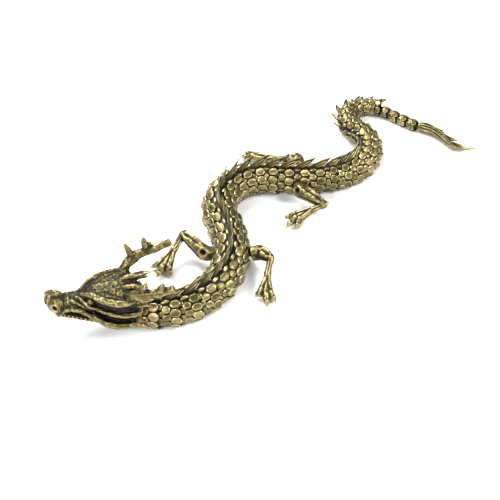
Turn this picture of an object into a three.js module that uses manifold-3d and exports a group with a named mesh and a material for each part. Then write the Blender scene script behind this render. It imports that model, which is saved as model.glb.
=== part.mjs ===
import * as THREE from "three";
import { mergeVertices } from "three/addons/utils/BufferGeometryUtils.js";
import Module from "manifold-3d";

const wasm = await Module();
wasm.setup();

// A jointed cast brass dragon that lies on its belly in an S curve.
// Millimetres, +Z up, origin at the middle of the footprint on the surface it lies on.
// The chain of rings starts at the neck and runs back to the tail.
const layoutCentre = { x: 13.13, y: 27.3 };
const neck = { x: -46.5, y: -44.6, heading: -3.7 };

// Runs of equal rings, as [how many, length from one pivot to the next].
const ringLengths = [
  [4, 8.0],
  [5, 7.8],
  [5, 7.6],
  [6, 7.4],
  [4, 5.8],
  [4, 5.6],
  [4, 5.2],
  [3, 4.8],
  [2, 4.4],
];
const tailLinkLengths = [[4, 5.6]];

// Runs of equal bends, as [how many pivots, degrees turned at each].
const bends = [
  [3, 15.3],
  [5, 11.8],
  [2, 4.4],
  [6, -18.6],
  [4, 2.2],
  [5, 13.3],
  [3, 14.7],
  [1, 17.7],
  [7, -21.8],
  [1, -21.1],
  [4, -0.4],
];

// How thick the chain is and how far it rolls over, as [distance from the neck, value].
const radiusAlong = [
  [0, 7.6],
  [30, 8.4],
  [70, 8.6],
  [120, 8.2],
  [150, 7.4],
  [190, 6.5],
  [215, 5.7],
  [240, 4.6],
  [262, 3.6],
];
const rollAlong = [
  [148, 0],
  [165, -20],
  [180, -45],
  [200, -75],
  [212, -82],
];
// The fins are lower where they stand inside the tail's tight bend.
const finHeightAlong = [
  [174, 1],
  [188, 0.58],
  [208, 0.58],
  [220, 1],
];

// A ring's shape, as shares of its radius or length.
const bellyDrop = 0.85;
const cupDrop = 0.77;
const smoothBelly = -0.6;
const ballRadius = 0.66;
const frontReach = 0.42;
const cupDepth = 0.5;
const cupShoulder = 0.28;
const rimOverlap = 0.04;
const rimTooth = 0.055;
const finThickness = 1.7;

// Faces flatter than this, in millimetres, are merged where bars join.
const finestEdge = 0.1;

// How many scale columns go round a ring, as [smallest radius, columns].
const columnsByRadius = [
  [7.3, 10],
  [0, 8],
];

// Links between the rings and the tail tuft.
const linkRadius = 2.85;
const linkStemRadius = 1.1;
const linkStemReach = 2.2;
const linkGap = 1.0;

// The head's own frame: x forward from the neck pivot, y to its left, z up.
const headHeight = 8.8;
const headYaw = 188;
const headPitch = 11.5;

const frontLegRing = 7;
const hindLegRing = 18;

const brass = { color: 0x9a8546, roughness: 0.38, metalness: 0.95 };

const radians = THREE.MathUtils.degToRad;

function expandRuns(runs) {
  return runs.flatMap(([count, value]) => Array(count).fill(value));
}

function readAlong(stations, distance) {
  if (distance <= stations[0][0]) return stations[0][1];
  for (let i = 1; i < stations.length; i += 1) {
    const [start, low] = stations[i - 1];
    const [end, high] = stations[i];
    if (distance <= end) return THREE.MathUtils.mapLinear(distance, start, end, low, high);
  }
  return stations[stations.length - 1][1];
}

// The place, direction, size and roll of every ring and tail link, in order from the neck.
function chainPlaces() {
  const lengths = expandRuns([...ringLengths, ...tailLinkLengths]);
  const turns = expandRuns(bends);
  const ringCount = expandRuns(ringLengths).length;
  const places = [];
  let { x, y, heading } = neck;
  let distance = 0;
  lengths.forEach((length, i) => {
    const isRing = i < ringCount;
    const radius = isRing ? readAlong(radiusAlong, distance + length / 2) : linkRadius;
    const roll = radians(readAlong(rollAlong, distance));
    const finHeight = readAlong(finHeightAlong, distance);
    places.push({ x, y, heading: radians(heading), length, radius, roll, finHeight, isRing });
    x += length * Math.cos(radians(heading));
    y += length * Math.sin(radians(heading));
    heading += turns[i];
    distance += length;
  });
  places.end = { x, y, heading: radians(heading) };
  return places;
}

function solidOf(geometry) {
  geometry.deleteAttribute("normal");
  geometry.deleteAttribute("uv");
  const merged = mergeVertices(geometry, 1e-4);
  return new wasm.Manifold(
    new wasm.Mesh({
      numProp: 3,
      vertProperties: merged.attributes.position.array,
      triVerts: new Uint32Array(merged.index.array),
    }),
  );
}

function geometryOf(solid) {
  const mesh = solid.getMesh();
  const geometry = new THREE.BufferGeometry();
  geometry.setAttribute("position", new THREE.BufferAttribute(mesh.vertProperties, 3));
  geometry.setIndex(new THREE.BufferAttribute(mesh.triVerts, 1));
  geometry.computeVertexNormals();
  return geometry;
}

function joined(geometries) {
  return geometryOf(geometries.map(solidOf).reduce((whole, next) => whole.add(next)).simplify(finestEdge));
}

// Moves every vertex of a geometry to where place(point) puts it.
function reshape(geometry, place) {
  const position = geometry.attributes.position;
  const point = new THREE.Vector3();
  for (let i = 0; i < position.count; i += 1) {
    place(point.fromBufferAttribute(position, i), i);
    position.setXYZ(i, point.x, point.y, point.z);
  }
  return geometry;
}

// A round bar through the given points, one radius at each equal step along it.
function taperedBar(points, radii, sides, flatness = 1) {
  const curve = new THREE.CatmullRomCurve3(points.map((point) => new THREE.Vector3(...point)));
  const steps = radii.length - 1;
  const frames = curve.computeFrenetFrames(steps);
  const bar = new THREE.CylinderGeometry(1, 1, 1, sides, steps);
  return reshape(bar, (point) => {
    const step = Math.round((0.5 - point.y) * steps);
    const across = frames.normals[step].clone().multiplyScalar(point.x * radii[step]);
    const beside = frames.binormals[step].clone().multiplyScalar(point.z * radii[step] * flatness);
    point.copy(curve.getPointAt(step / steps)).add(across).add(beside);
  });
}

// A body along x through sections given as [x, half width, bottom, top].
function sectionBody(sections, sides, squareness = 0.8) {
  const steps = sections.length - 1;
  const body = new THREE.CylinderGeometry(1, 1, 1, sides, steps);
  const soften = (value) => Math.sign(value) * Math.abs(value) ** squareness;
  return reshape(body, (point) => {
    const [x, halfWidth, bottom, top] = sections[Math.round((0.5 - point.y) * steps)];
    const side = soften(point.x) * halfWidth;
    const rise = soften(point.z) * (top - bottom) * 0.5;
    point.set(x, side, (top + bottom) / 2 + rise);
  });
}

// The hollow scaled ring: a nose that sits in the ring ahead, a flared toothed rim and a cup.
function ringShell({ length, radius, roll }, columns) {
  const rim = length * (1 + rimOverlap);
  const tooth = rimTooth * length;
  // Each station is [along, radius share, ripple between scales, toothing along, belly share].
  const stations = [
    [-frontReach * radius, 0, 0, 0, bellyDrop],
    [0, ballRadius, 0, 0, bellyDrop],
    [0.5 * length, 0.78, -0.03, 0, bellyDrop],
    [0.8 * length, 0.93, 0.04, 0.4 * tooth, bellyDrop],
    [rim, 0.99, 0.03, tooth, bellyDrop],
    [rim - 0.1, 0.88, 0.02, tooth, cupDrop],
    [length - cupShoulder * radius, 0.72, 0, 0, cupDrop],
    [length - cupDepth * radius, 0, 0, 0, cupDrop],
  ];
  const profile = stations.map(([along, share]) => new THREE.Vector2(share * radius, along));
  const shell = new THREE.LatheGeometry(profile, columns);
  return reshape(shell, (point, i) => {
    const column = Math.floor(i / stations.length);
    const [along, share, ripple, jut, drop] = stations[i % stations.length];
    const angle = (2 * Math.PI * ((column % columns) + 0.5)) / columns + roll;
    const isBelly = Math.cos(angle) < smoothBelly;
    const sign = isBelly ? 0 : 1 - 2 * (column % 2);
    const reach = share * radius * (1 + ripple * sign);
    const height = Math.max(reach * Math.cos(angle), -drop * radius);
    point.set(along + jut * sign, -reach * Math.sin(angle), height);
  });
}

// The swept back flame that stands on a ring, thin at its edge.
function ringFin({ length, radius, roll, finHeight }) {
  const low = 1 - finHeight;
  // Each corner is [share of the length, share of the radius added along, share of the radius up].
  const corners = [
    [0.14, 0, 0.58],
    [1, -cupDepth - 0.02, 0.6],
    [1, -cupShoulder + 0.02, 0.79],
    [1, 0, 0.94],
    [1, 0.08, 1 + 0.12 * finHeight],
    [1, 0.55 * finHeight, 1 + 0.62 * finHeight],
    [0.8 + 0.2 * low, 0, 1 + 0.32 * finHeight],
    [0.35 + 0.6 * low, 0, 0.98 - 0.45 * low],
  ];
  const outline = new THREE.Shape(
    corners.map(([share, back, up]) => new THREE.Vector2(share * length + back * radius, up * radius)),
  );
  const fin = new THREE.ExtrudeGeometry(outline, { depth: finThickness, bevelEnabled: false });
  return reshape(fin, (point) => {
    const thinning = 1 - 0.75 * THREE.MathUtils.clamp((point.y / radius - 0.9) / 0.7, 0, 1);
    const beside = (finThickness / 2 - point.z) * thinning * (radius / 8);
    point.set(point.x, beside, point.y);
  }).applyMatrix4(new THREE.Matrix4().makeRotationX(roll));
}

function ring(place) {
  const [, columns] = columnsByRadius.find(([smallest]) => place.radius >= smallest);
  return joined([ringShell(place, columns), ringFin(place)]);
}

// A short barrel with a stem in front that sits in the socket of the link ahead.
function tailLink({ length, radius }) {
  const socket = linkStemRadius + 0.45;
  const profile = [
    [-linkStemReach + linkGap, 0],
    [-linkStemReach + linkGap, linkStemRadius],
    [linkGap, linkStemRadius],
    [linkGap, 0.8 * radius],
    [0.6 * length, radius],
    [length, 0.86 * radius],
    [length, socket],
    [length - 1.6, socket],
    [length - 1.6, 0],
  ];
  const points = profile.map(([along, across]) => new THREE.Vector2(across, along));
  const link = new THREE.LatheGeometry(points, 6, Math.PI / 6);
  return reshape(link, (point) => {
    const height = Math.max(point.z, -bellyDrop * radius);
    point.set(point.y, -point.x, height);
  });
}

// The long wavy tuft at the end of the tail, with three barbs on its outer side.
function tailTuft(height) {
  const spine = [
    [linkGap, 0.4, 0],
    [4, 1.6, 0.3],
    [9, 2.3, 0.3],
    [15, 1.0, 0.1],
    [20, -0.8, -0.2],
    [24, -1.3, -0.5],
    [27, -0.1, -0.7],
    [29.5, 2.1, -0.8],
    [32.7, 5.0, -0.9],
  ];
  const strands = [
    taperedBar([[linkGap - linkStemReach, 0, 0], [2, 0.6, 0]], [linkStemRadius, linkStemRadius], 5),
    taperedBar(spine, [2.2, 2.7, 2.4, 1.9, 1.5, 1.1, 0.8, 0.4], 6, 0.85),
    taperedBar([[7, 3.0, 0.5], [11.5, 4.4, 0.2], [14.6, 6.0, -0.2]], [1.6, 1.1, 0.3], 4),
    taperedBar([[14, 2.0, 0.2], [19, 2.0, 0], [22.6, 3.2, -0.4]], [1.4, 1.0, 0.3], 4),
    taperedBar([[21.5, 0, -0.2], [25, 0.9, -0.4], [27.2, 2.8, -0.7]], [1.1, 0.8, 0.3], 4),
  ];
  return reshape(joined(strands), (point) => {
    point.z = Math.max(point.z, -height);
  });
}

// Both sides of something on the head, from a function of the side, 1 for left and -1 for right.
function bothSides(make) {
  return [...make(1), ...make(-1)];
}

// The antlers lean back unequally: the far one sits a little further forward.
const antlers = [
  {
    side: 1,
    beam: [
      [6.2, 7.4, 10], [6.5, 8.6, 13.8], [3.2, 11.3, 17.9],
      [-0.9, 12.8, 20.3], [-5, 13.7, 22.4], [-9.3, 14.2, 25.2],
    ],
    frontTine: [[3, 11.2, 18.4], [2.3, 11.6, 22.2], [1.9, 11.5, 25.2]],
    rearTine: [[-3.6, 13.4, 21.8], [-4.2, 13.8, 24.8], [-4.5, 13.7, 27.3]],
  },
  {
    side: -1,
    beam: [
      [8, 7.4, 10], [8.3, 8.6, 13.8], [4.5, 11.3, 17.9],
      [-0.8, 12.8, 20.3], [-5.7, 13.7, 22.4], [-10.3, 14.2, 25.2],
    ],
    frontTine: [[5.2, 11, 18.2], [7.6, 11.4, 21.8], [9.7, 11.5, 25.2]],
    rearTine: [[-0.4, 12.8, 20.8], [0.9, 13.6, 24.2], [1.6, 13.7, 27.3]],
  },
];

function antler({ side, beam, frontTine, rearTine }) {
  const toSide = (points) => points.map(([x, y, z]) => [x, side * y, z]);
  return [
    taperedBar(toSide(beam), [2.6, 2.4, 2.0, 1.7, 1.7], 5),
    taperedBar(toSide(frontTine), [1.7, 0.6], 4),
    taperedBar(toSide(rearTine), [1.8, 0.7], 4),
  ];
}

// The bars on each side of the head: [points, radii, sides].
const headBars = {
  brow: [
    [
      [25.4, 3.2, 9.2], [21.4, 5.2, 10.2], [17.5, 7.6, 10],
      [12.5, 9.4, 10.4], [8.5, 10.2, 11.4], [4.6, 11.2, 13.6],
    ],
    [0.9, 1.6, 1.8, 1.6, 0.4],
    4,
  ],
  lip: [
    [[37, 4.2, -1.9], [32, 4.1, 0.2], [28.6, 4.5, 1], [25, 5.5, 1], [20.7, 7.2, 0], [17, 8.2, -1.4]],
    [1.2, 1.1, 1.3, 1.0],
    4,
  ],
  cheek: [
    [[19.3, 7, 4], [14.3, 8.3, 3.7], [9.4, 9.2, 3.4], [3.9, 9.4, 4.4], [0.4, 9, 6.4]],
    [1.0, 1.5, 1.4, 0.7],
    4,
  ],
  jawEdge: [
    [[20.9, 6.8, 1.6], [18.5, 7.9, 0], [15.4, 8.8, -1.8], [10.4, 9.3, -2.8], [6.2, 9.3, -2.6], [3, 9, -1.4]],
    [1.0, 1.6, 1.7, 0.9],
    4,
  ],
  jawSpike: [[[4.5, 9, -1.8], [0.1, 9.6, -1.6], [-3.8, 10, -3.2]], [1.5, 1.2, 0.3], 4],
  ear: [[[9, 6.8, 7.4], [5.8, 7.4, 9.4], [0.9, 8, 11.4], [-3.8, 8.4, 12.8]], [1.6, 1.9, 0.3], 4],
  innerLock: [[[10, 2.5, 12], [5.5, 3.2, 14.4], [0.6, 3.8, 15.4]], [1.9, 1.6, 0.4], 4],
  outerLock: [[[6.4, 7.6, 7.4], [1.4, 8.4, 9.4], [-3.4, 9, 9]], [1.9, 1.4, 0.4], 4],
  eyeFold: [
    [[27.6, 3.6, 6], [25.2, 4.6, 5.8], [22.6, 5.9, 4.3], [19.5, 6.9, 4.5], [15, 7.8, 5.6]],
    [0.7, 1.0, 0.7],
    4,
  ],
};

function headSide(side) {
  const toSide = ([x, y, z]) => [x, side * y, z];
  const eye = new THREE.IcosahedronGeometry(1.8, 0).translate(...toSide([22, 5.3, 7.4]));
  const nostril = new THREE.IcosahedronGeometry(2.6, 0).translate(...toSide([38.6, 2.9, -0.6]));
  const bars = Object.values(headBars).map(
    ([points, radii, sides]) => taperedBar(points.map(toSide), radii, sides));
  return [...bars, eye, nostril];
}

// The hollow at the back of the head that the first ring sits in.
function neckCup() {
  return new THREE.CylinderGeometry(5.9, 5.9, 5.2, 10).rotateZ(Math.PI / 2).translate(1.4, 0, -2.3);
}

// Turns the tip of the nose a little towards the head's left.
function turnNose(point) {
  const share = THREE.MathUtils.clamp((point.x - 32) / 7, 0, 1);
  point.x -= 0.45 * share * (point.y + 3.2);
}

function head() {
  const skull = [
    [4.2, 8.0, -3.6, 12.4],
    [9, 8.6, -3.8, 13.8],
    [14, 7.4, -3.6, 13.0],
    [19, 5.8, -3.0, 11.6],
    [22.5, 4.7, -2.6, 10.0],
    [25.4, 4.2, -2.4, 7.4],
    [28.4, 4.0, -2.4, 5.4],
    [33, 4.1, -2.8, 4.4],
    [37, 5.2, -3.4, 5.2],
    [40, 4.6, -3.2, 4.2],
    [41.05, 3.0, -1.8, 2.6],
  ];
  const crown = [
    [4.2, 9.4, 7.2, 12.8],
    [9, 9.8, 7.4, 13.8],
    [14, 8.6, 7.4, 13],
    [19, 6.4, 7, 11.4],
    [23, 4.6, 6, 9.6],
    [26, 3.0, 4.4, 7],
  ];
  const collar = [
    [0.3, 7.8, -5.6, 10.2],
    [4.6, 8.6, -5.6, 12.2],
  ];
  const jaw = [
    [4.2, 8.4, -4.4, -1],
    [12, 8.4, -4.9, -1],
    [20, 7.2, -4.4, -2.0],
    [29, 5.0, -4.6, -3.0],
    [38, 3.6, -4.6, -3.0],
  ];
  const noseBump = taperedBar([[40, 0, 3.8], [37.6, 0, 5.6], [33.4, 0, 4.4]], [1.2, 1.6, 0.8], 5);
  const bodies = [sectionBody(skull, 8), sectionBody(crown, 8), sectionBody(jaw, 6), sectionBody(collar, 8)];
  const whole = joined([...bodies, noseBump, ...bothSides(headSide), ...antlers.flatMap(antler)]);
  const hollowed = geometryOf(solidOf(whole).subtract(solidOf(neckCup())));
  return reshape(hollowed, turnNose);
}

// Joints of the four legs on the layout, from the root on the ring to the three toe tips.
const legs = [
  {
    name: "leg_front_left",
    ringIndex: frontLegRing,
    side: -1,
    elbow: [9.2, -16.2, 10.2],
    wrist: [6.6, -29.4, 4.2],
    toes: [[2.4, -31.2], [7.4, -37.2], [11.4, -34.2]],
  },
  {
    name: "leg_front_right",
    ringIndex: frontLegRing,
    side: 1,
    elbow: [-30.2, -1.2, 10.6],
    wrist: [-37.4, -12.4, 4.2],
    toes: [[-44.6, -12.6], [-41.6, -19.2], [-34.9, -18.6]],
  },
  {
    name: "leg_hind_left",
    ringIndex: hindLegRing,
    side: -1,
    elbow: [34.6, 22.0, 8.4],
    wrist: [24.6, 20.8, 4.0],
    toes: [[15.8, 20.6], [16.6, 14.0], [21.4, 12.4]],
  },
  {
    name: "leg_hind_right",
    ringIndex: hindLegRing,
    side: 1,
    elbow: [17.8, 56.8, 7.6],
    wrist: [6.0, 61.8, 4.2],
    toes: [[-2.6, 64.4], [-5.0, 67.0], [-3.2, 70.4]],
  },
];
const toeTipHeight = 0.9;
const legClearance = 0.9;
const legRootHeight = 7.2;
const pegRadius = 1.2;
const pegPlace = 0.42;

// A leg: a peg into its ring, a thick upper part, a long shin with a spur, and three toes.
function leg({ ringIndex, side, elbow, wrist, toes }, places) {
  const { x, y, heading, length, radius } = places[ringIndex];
  const along = new THREE.Vector3(Math.cos(heading), Math.sin(heading), 0);
  const out = new THREE.Vector3(-side * along.y, side * along.x, 0);
  const fromRing = (back, reach, height) =>
    new THREE.Vector3(x, y, height).addScaledVector(along, back).addScaledVector(out, reach);
  const pegEnds = [0.84 * radius, radius + 3].map(
    (reach) => fromRing(pegPlace * length, reach, legRootHeight));
  const root = fromRing(pegPlace * length, radius + legClearance, legRootHeight);
  const shoulder = fromRing(pegPlace * length, radius + legClearance + 3, legRootHeight + 0.8);
  const top = new THREE.Vector3(...elbow);
  const low = new THREE.Vector3(...wrist);
  const spurTip = top.clone().sub(low).setLength(2.6).add(top).setZ(top.z + 0.4);
  const hand = new THREE.Vector3().lerpVectors(top, low, 0.6);
  const asPoint = (vector) => vector.toArray();
  const parts = [
    taperedBar(pegEnds.map(asPoint), [pegRadius, pegRadius], 5),
    taperedBar([root, shoulder, top].map(asPoint), [3.0, 3.4, 2.8, 2.1], 6),
    taperedBar([spurTip, top, hand].map(asPoint), [0.4, 2.0, 1.9], 5),
  ];
  toes.forEach((toe) => {
    const tip = new THREE.Vector3(toe[0], toe[1], toeTipHeight);
    const knuckle = new THREE.Vector3().lerpVectors(low, tip, 0.5).setZ(3.2);
    parts.push(taperedBar([hand, knuckle, tip].map(asPoint), [1.5, 1.5, 0.5], 4));
  });
  return reshape(joined(parts), (point) => {
    point.z = Math.max(point.z, 0);
  });
}

function named(name, geometry) {
  const mesh = new THREE.Mesh(geometry, new THREE.MeshStandardMaterial(brass));
  mesh.name = name;
  return mesh;
}

function placed(mesh, { x, y, heading }, height) {
  mesh.position.set(x, y, height);
  mesh.rotation.z = heading;
  return mesh;
}

function build() {
  const layout = new THREE.Group();
  layout.position.set(-layoutCentre.x, -layoutCentre.y, 0);
  const places = chainPlaces();
  let ringNumber = 0;
  let linkNumber = 0;
  places.forEach((place) => {
    const number = place.isRing ? (ringNumber += 1) : (linkNumber += 1);
    const label = String(number).padStart(2, "0");
    const mesh = place.isRing
      ? named("ring_" + label, ring(place))
      : named("tail_link_" + label, tailLink(place));
    layout.add(placed(mesh, place, bellyDrop * place.radius));
  });
  const tuftHeight = bellyDrop * linkRadius;
  layout.add(placed(named("tail_tuft", tailTuft(tuftHeight)), places.end, tuftHeight));

  const headMesh = placed(named("head", head()), neck, headHeight);
  headMesh.rotation.order = "ZYX";
  headMesh.rotation.set(0, radians(-headPitch), radians(headYaw));
  layout.add(headMesh);

  legs.forEach((plan) => layout.add(named(plan.name, leg(plan, places))));
  const dragon = new THREE.Group();
  dragon.name = "dragon";
  dragon.add(layout);
  return dragon;
}

export default build();
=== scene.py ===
import math
import bmesh
import bpy
import numpy as np
from mathutils import Matrix, Vector


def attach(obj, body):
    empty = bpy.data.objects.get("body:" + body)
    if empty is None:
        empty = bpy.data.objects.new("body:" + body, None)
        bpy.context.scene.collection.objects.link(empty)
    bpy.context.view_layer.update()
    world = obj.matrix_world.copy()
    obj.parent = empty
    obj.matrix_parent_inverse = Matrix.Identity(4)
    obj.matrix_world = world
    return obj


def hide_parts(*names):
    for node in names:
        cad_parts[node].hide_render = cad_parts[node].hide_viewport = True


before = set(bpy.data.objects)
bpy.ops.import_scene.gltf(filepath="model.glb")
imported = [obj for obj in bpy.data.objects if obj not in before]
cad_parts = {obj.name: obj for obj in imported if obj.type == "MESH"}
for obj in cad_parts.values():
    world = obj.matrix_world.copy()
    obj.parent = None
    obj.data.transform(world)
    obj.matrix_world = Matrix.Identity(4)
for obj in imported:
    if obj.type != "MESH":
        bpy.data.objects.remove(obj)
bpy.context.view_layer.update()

mm = 0.001
print("frame loaded")

# The chain, as in the part: it starts at the neck and runs back to the tail. Millimetres and degrees.
chainPlan = {
    "layoutCentre": (13.13, 27.3),
    "neck": (-46.5, -44.6, -3.7),
    "ringLengths": [(4, 8.0), (5, 7.8), (5, 7.6), (6, 7.4), (4, 5.8), (4, 5.6), (4, 5.2), (3, 4.8), (2, 4.4)],
    "linkLengths": [(4, 5.6)],
    "bends": [(3, 15.3), (5, 11.8), (2, 4.4), (6, -18.6), (4, 2.2), (5, 13.3), (3, 14.7), (1, 17.7),
              (7, -21.8), (1, -21.1), (4, -0.4)],
    "radiusAlong": [(0, 7.6), (30, 8.4), (70, 8.6), (120, 8.2), (150, 7.4), (190, 6.5), (215, 5.7),
                    (240, 4.6), (262, 3.6)],
    "rollAlong": [(148, 0), (165, -20), (180, -45), (200, -75), (212, -82)],
    "finHeightAlong": [(174, 1), (188, 0.58), (208, 0.58), (220, 1)],
    "linkRadius": 2.85,
    "bellyDrop": 0.85,
}


def expandRuns(runs):
    return [value for count, value in runs for _ in range(count)]


def readAlong(stations, distance):
    return float(np.interp(distance, [s for s, _ in stations], [v for _, v in stations]))


def chainPlaces(plan):
    lengths = expandRuns(plan["ringLengths"] + plan["linkLengths"])
    turns = expandRuns(plan["bends"])
    ringCount = len(expandRuns(plan["ringLengths"]))
    x, y, heading = plan["neck"]
    distance = 0.0
    places = []
    for i, length in enumerate(lengths):
        isRing = i < ringCount
        radius = readAlong(plan["radiusAlong"], distance + length / 2) if isRing else plan["linkRadius"]
        places.append({
            "x": x - plan["layoutCentre"][0],
            "y": y - plan["layoutCentre"][1],
            "heading": math.radians(heading),
            "length": length,
            "radius": radius,
            "height": plan["bellyDrop"] * radius,
            "roll": math.radians(readAlong(plan["rollAlong"], distance)),
            "finHeight": readAlong(plan["finHeightAlong"], distance),
            "isRing": isRing,
        })
        x += length * math.cos(math.radians(heading))
        y += length * math.sin(math.radians(heading))
        heading += turns[i]
        distance += length
    end = {"x": x - plan["layoutCentre"][0], "y": y - plan["layoutCentre"][1],
           "heading": math.radians(heading), "height": plan["bellyDrop"] * plan["linkRadius"]}
    return places, end


places, chainEnd = chainPlaces(chainPlan)


def placeMatrix(place):
    turn = Matrix.Rotation(place["heading"], 4, "Z")
    return Matrix.Translation((place["x"], place["y"], place["height"])) @ turn


# A node socket that takes part in sums, so that shader maths reads as an expression.
class Value:
    def __init__(self, shader, socket):
        self.shader = shader
        self.socket = socket

    def math(self, operation, other, swap=False):
        pair = [other, self] if swap else [self, other]
        return self.shader.add("ShaderNodeMath", {"operation": operation}, pair)

    def __add__(self, other):
        return self.math("ADD", other)

    def __radd__(self, other):
        return self.math("ADD", other, True)

    def __sub__(self, other):
        return self.math("SUBTRACT", other)

    def __rsub__(self, other):
        return self.math("SUBTRACT", other, True)

    def __mul__(self, other):
        return self.math("MULTIPLY", other)

    def __rmul__(self, other):
        return self.math("MULTIPLY", other, True)

    def clamped(self, low=0.0, high=1.0):
        return self.shader.add("ShaderNodeClamp", {}, {"Value": self, "Min": low, "Max": high})

    def stepped(self, low, high):
        return self.shader.add(
            "ShaderNodeMapRange", {"interpolation_type": "SMOOTHSTEP"},
            {"Value": self, "From Min": low, "From Max": high, "To Min": 0.0, "To Max": 1.0})


class Shader:
    def __init__(self, name):
        self.material = bpy.data.materials.new(name)
        self.material.use_nodes = True
        self.tree = self.material.node_tree
        self.principled = self.tree.nodes["Principled BSDF"]

    # Makes a node: its settings first, then values or links for its sockets.
    def add(self, kind, settings, inputs, output=0):
        node = self.tree.nodes.new(kind)
        for key, value in settings.items():
            if key == "stops":
                self.setStops(node.color_ramp, value)
            else:
                setattr(node, key, value)
        pairs = inputs.items() if isinstance(inputs, dict) else enumerate(inputs)
        for key, value in pairs:
            self.feed(node.inputs[key], value)
        return Value(self, node.outputs[output])

    def feed(self, socket, value):
        if isinstance(value, Value):
            self.tree.links.new(value.socket, socket)
        else:
            socket.default_value = value

    def setStops(self, ramp, stops):
        while len(ramp.elements) < len(stops):
            ramp.elements.new(0.5)
        for element, (position, colour) in zip(ramp.elements, stops):
            element.position = position
            element.color = (*colour, 1.0)

    def noise(self, point, scale, detail=3.0, roughness=0.55):
        return self.add("ShaderNodeTexNoise", {}, {
            "Vector": point, "Scale": scale, "Detail": detail, "Roughness": roughness})


brassLook = {
    "recess": (0.006, 0.006, 0.004),
    "patina": (0.028, 0.025, 0.012),
    "olive": (0.125, 0.102, 0.042),
    "brass": (0.33, 0.27, 0.12),
    "rubbed": (0.66, 0.57, 0.33),
    "patchScale": 160.0,
    "patchAmount": 0.4,
    "speckScale": 900.0,
    "speckAmount": 0.45,
    "speckRoughness": 0.12,
    "grainScale": 3200.0,
    "roughBright": 0.30,
    "roughDark": 0.55,
    "darkMetal": 0.5,
    "bumpStrength": 0.5,
    "bumpDepth": 0.00006,
}


# Antique cast brass: the wear-and-shade attribute of each piece says where it is rubbed bright, 1, or left
# dark with patina, 0; on the clay pieces it also holds painted shade in grooves and holes.
def makeBrass(look):
    shader = Shader("antiqueBrass")
    point = shader.add("ShaderNodeTexCoord", {}, {}, "Object")
    wear = shader.add("ShaderNodeAttribute", {"attribute_name": "wear"}, {}, "Fac")
    patches = shader.noise(point, look["patchScale"], 4.0)
    specks = shader.noise(point, look["speckScale"], 3.0, 0.65)
    grain = shader.noise(point, look["grainScale"], 2.0)
    level = wear + (patches - 0.5) * look["patchAmount"] + (specks - 0.5) * look["speckAmount"]
    level = level.clamped()
    colour = shader.add("ShaderNodeValToRGB", {"stops": [
        (0.0, look["recess"]), (0.25, look["patina"]), (0.5, look["olive"]),
        (0.75, look["brass"]), (1.0, look["rubbed"])]}, [level])
    shader.feed(shader.principled.inputs["Base Color"], colour)
    spread = look["roughDark"] - look["roughBright"]
    roughness = look["roughDark"] - level * spread + (specks - 0.5) * look["speckRoughness"]
    shader.feed(shader.principled.inputs["Roughness"], roughness.clamped(0.12, 0.9))
    metal = level.stepped(0.0, 0.3) * (1 - look["darkMetal"]) + look["darkMetal"]
    shader.feed(shader.principled.inputs["Metallic"], metal)
    height = specks * 0.6 + grain * 0.4
    bump = shader.add("ShaderNodeBump", {}, {
        "Strength": look["bumpStrength"], "Distance": look["bumpDepth"], "Height": height})
    shader.feed(shader.principled.inputs["Normal"], bump)
    return shader.material


brass = makeBrass(brassLook)
print("materials made")


def newShape():
    bm = bmesh.new()
    bm.verts.layers.float.new("wear")
    return bm


# The same shape with its vertices in unbroken order, so that vertices added later come last.
def repacked(bm):
    mesh = bpy.data.meshes.new("core")
    bm.to_mesh(mesh)
    bm.free()
    fresh = newShape()
    fresh.from_mesh(mesh)
    bpy.data.meshes.remove(mesh)
    return fresh


# Turns a bmesh in millimetres into a finished piece that stands for its nodes.
def finishPiece(bm, name, nodes):
    mesh = bpy.data.meshes.new(name)
    bmesh.ops.recalc_face_normals(bm, faces=bm.faces)
    bm.to_mesh(mesh)
    bm.free()
    return addPiece(mesh, name, nodes)


def addPiece(mesh, name, nodes):
    mesh.transform(Matrix.Scale(mm, 4))
    mesh.shade_smooth()
    mesh.materials.clear()
    mesh.materials.append(brass)
    piece = bpy.data.objects.new(name + "_cast", mesh)
    bpy.context.scene.collection.objects.link(piece)
    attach(piece, "root")
    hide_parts(*nodes)
    return piece


# Places on a smooth curve through the controls: the span, the share of it and the place itself.
def curvePlaces(controls, steps):
    ends = [controls[0] * 2 - controls[1], *controls, controls[-1] * 2 - controls[-2]]
    for i in range(len(controls) - 1):
        a, b, c, d = ends[i:i + 4]
        for k in range(steps):
            t = k / steps
            square = (a * 2 - b * 5 + c * 4 - d) * t ** 2
            yield i, t, (b * 2 + (c - a) * t + square + (b * 3 - a - c * 3 + d) * t ** 3) / 2
    yield len(controls) - 2, 1.0, controls[-1]


def smoothPath(line, steps):
    controls = list(np.array(line, dtype=float))
    return np.array([spot for _, _, spot in curvePlaces(controls, steps)])


def startRing(bm, sides):
    return list(bmesh.ops.create_circle(bm, cap_ends=False, segments=sides, radius=1.0)["verts"])


# Extrudes an open ring of vertices and returns the new ring in the same order.
def extrudeRing(bm, ring):
    edges = dict.fromkeys(e for v in ring for e in v.link_edges if e.other_vert(v) in ring)
    partner = {}
    for v in bmesh.ops.extrude_edge_only(bm, edges=list(edges))["geom"]:
        if isinstance(v, bmesh.types.BMVert):
            for e in v.link_edges:
                if e.other_vert(v) in ring:
                    partner[e.other_vert(v)] = v
    return [partner[v] for v in ring]


def closeRing(bm, ring, wearing):
    for v in bmesh.ops.poke(bm, faces=[bm.faces.new(ring)])["verts"]:
        v[bm.verts.layers.float["wear"]] = wearing


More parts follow.
